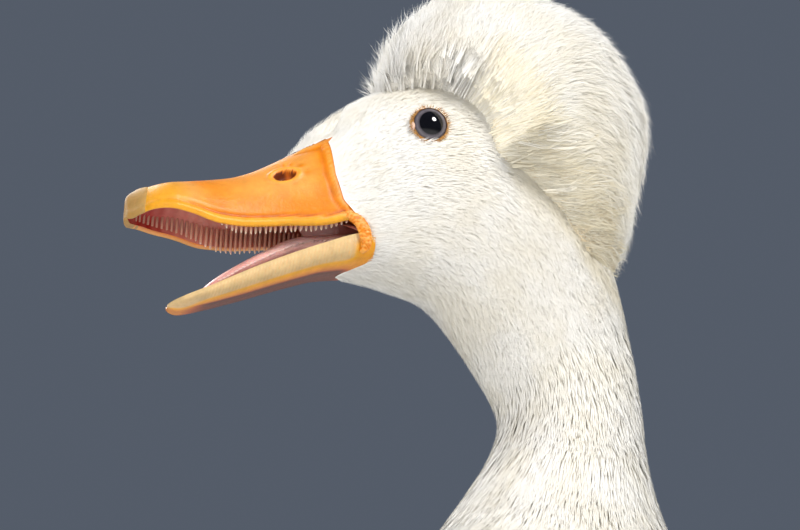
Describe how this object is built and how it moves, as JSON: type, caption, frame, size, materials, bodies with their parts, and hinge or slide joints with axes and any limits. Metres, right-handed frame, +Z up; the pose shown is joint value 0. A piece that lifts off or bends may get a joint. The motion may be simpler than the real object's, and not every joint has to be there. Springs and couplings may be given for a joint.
{
  "type": "crested duck, still life-size model",
  "caption": "White domestic crested duck, life size, standing with her neck up and her orange bill open, with a round feather puff on her crown and webbed orange feet.",
  "frame": {"origin": "on the floor, under the middle of the duck's length", "axes": "she faces -X, her left side is towards -Y, and +Z is up"},
  "size_m": [0.454, 0.1672, 0.4579],
  "materials": {
    "plumage": "soft warm white feathers, cream in the creases",
    "bill": "orange skin over horn, low satin sheen",
    "nail": "tan horn, worn satin",
    "tongue": "moist pink flesh",
    "eye": "wet and clear, grey iris round a near-black pupil",
    "leg": "orange scaled skin"
  },
  "bodies": {
    "root": {"head": "plumage", "crest": "plumage", "neck_upper": "plumage", "neck_lower": "plumage", "torso": "plumage", "wing_left": "plumage", "wing_right": "plumage", "tail": "plumage", "thigh_left": "plumage", "thigh_right": "plumage", "bill_upper": "bill", "bill_lower": "bill", "bill_nail": "nail", "tongue": "tongue", "eye_left": "eye", "eye_right": "eye", "shank_left": "leg", "shank_right": "leg", "foot_left": "leg", "foot_right": "leg"}
  },
  "joints": []
}
